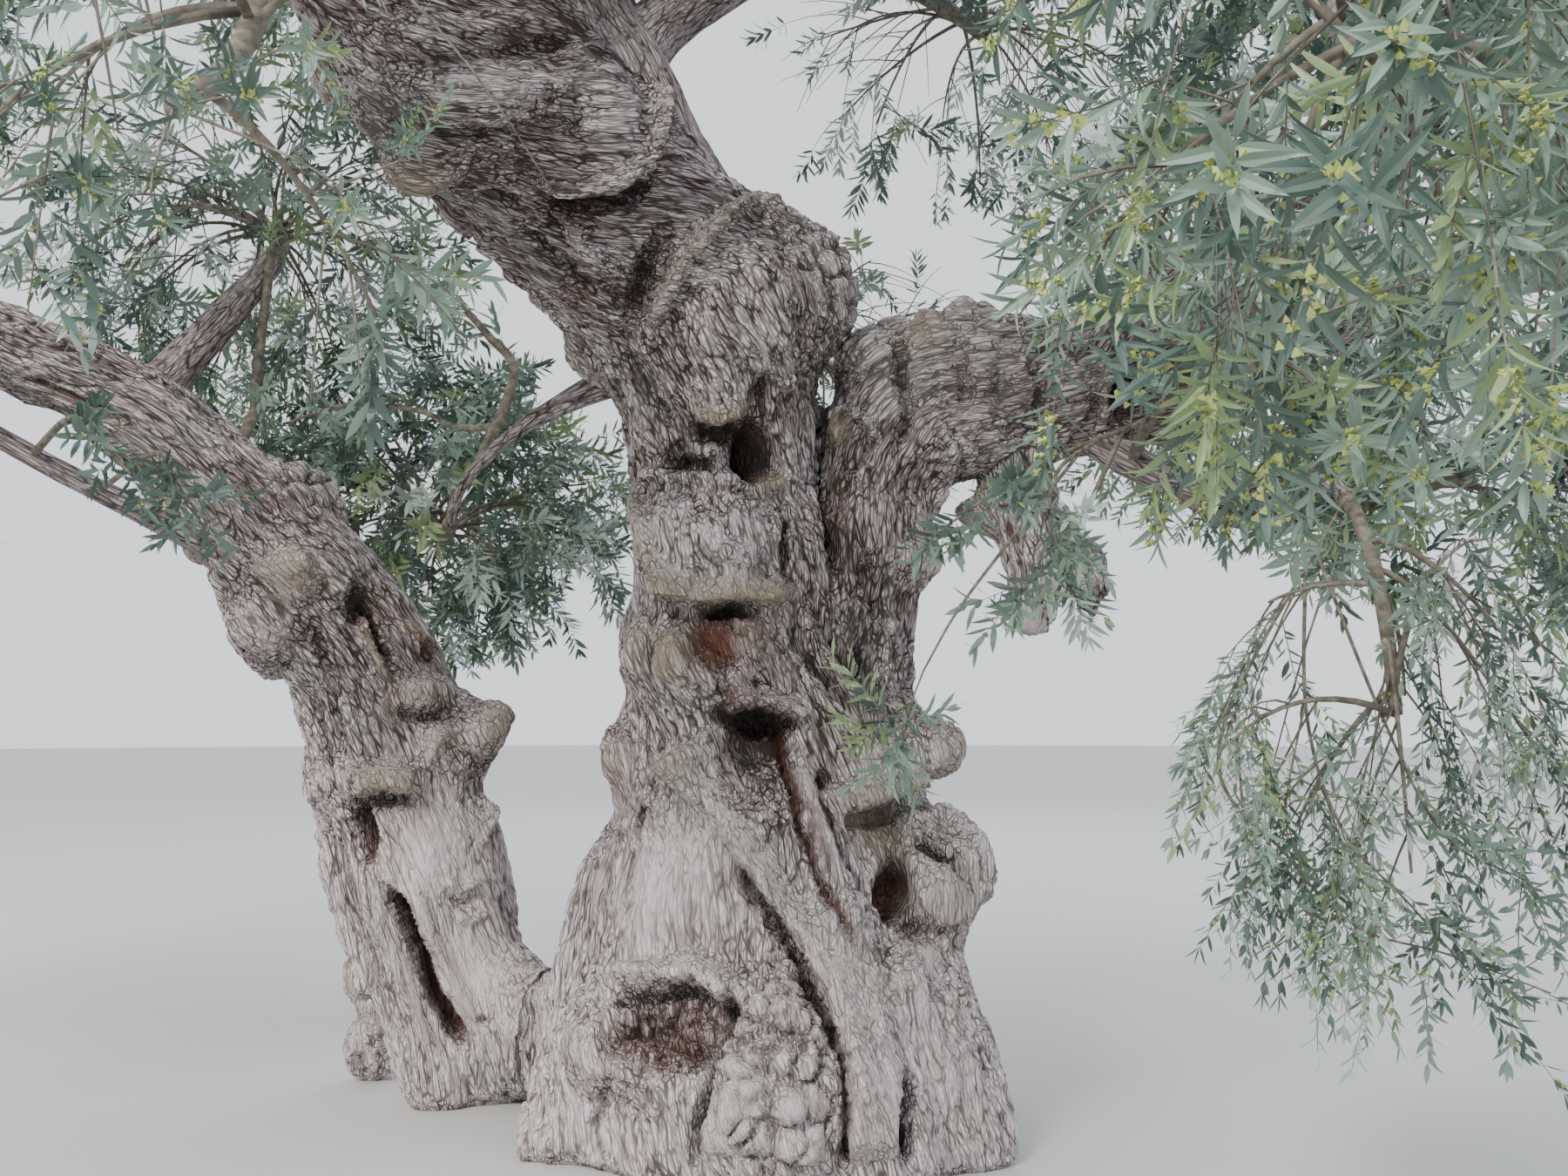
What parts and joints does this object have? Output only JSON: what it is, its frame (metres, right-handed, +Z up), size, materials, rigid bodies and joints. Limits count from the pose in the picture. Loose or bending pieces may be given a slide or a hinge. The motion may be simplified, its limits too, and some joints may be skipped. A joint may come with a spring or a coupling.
{
  "type": "olive tree",
  "caption": "Ancient olive tree: two gnarled leaning stems from one flared root, thick twisted boughs and a wide, open, grey-green crown.",
  "frame": {"origin": "middle of the flat cut under the main trunk, at ground level", "axes": "+Z up, +X to the right of a viewer in front of the tree, +Y away from that viewer"},
  "size_m": [9.6784, 7.6807, 6.5028],
  "materials": {
    "old_bark": "rough grey-brown bark with fine twisting fissures",
    "young_bark": "smoother grey bark",
    "leaves": "grey-green satin leaf, silvery beneath"
  },
  "bodies": {
    "root": {"crown_top_bough": "young_bark", "foliage_crown_top": "leaves", "foliage_front_left": "leaves", "foliage_front_top": "leaves", "foliage_hanging_shoots": "leaves", "foliage_left_end": "leaves", "foliage_left_low": "leaves", "foliage_left_rear": "leaves", "foliage_left_top": "leaves", "foliage_near_left": "leaves", "foliage_near_right": "leaves", "foliage_rear_low_left": "leaves", "foliage_rear_mid": "leaves", "foliage_rear_right": "leaves", "foliage_rear_top_left": "leaves", "foliage_rear_top_right": "leaves", "foliage_right_end": "leaves", "foliage_right_front": "leaves", "foliage_right_low": "leaves", "foliage_right_mid": "leaves", "foliage_right_top": "leaves", "foliage_top_right": "leaves", "foliage_upper_left": "leaves", "front_left_bough": "young_bark", "front_top_bough": "young_bark", "left_bough": "old_bark", "left_low_branch": "young_bark", "left_rear_bough": "young_bark", "left_top_bough": "young_bark", "main_trunk": "old_bark", "near_left_bough": "young_bark", "near_right_bough": "young_bark", "pale_spur": "young_bark", "pruned_prong": "young_bark", "pruned_stub": "young_bark", "rear_bough": "young_bark", "rear_left_bough": "young_bark", "rear_mid_bough": "young_bark", "rear_right_bough": "young_bark", "rear_right_low_bough": "young_bark", "right_bough": "old_bark", "right_end_bough": "young_bark", "right_front_bough": "young_bark", "right_low_branch": "young_bark", "right_mid_bough": "young_bark", "right_top_bough": "young_bark", "second_trunk": "old_bark", "side_branch": "young_bark", "top_right_bough": "young_bark", "upper_bough": "old_bark", "upper_left_bough": "young_bark", "weeping_branch": "young_bark"}
  },
  "joints": []
}
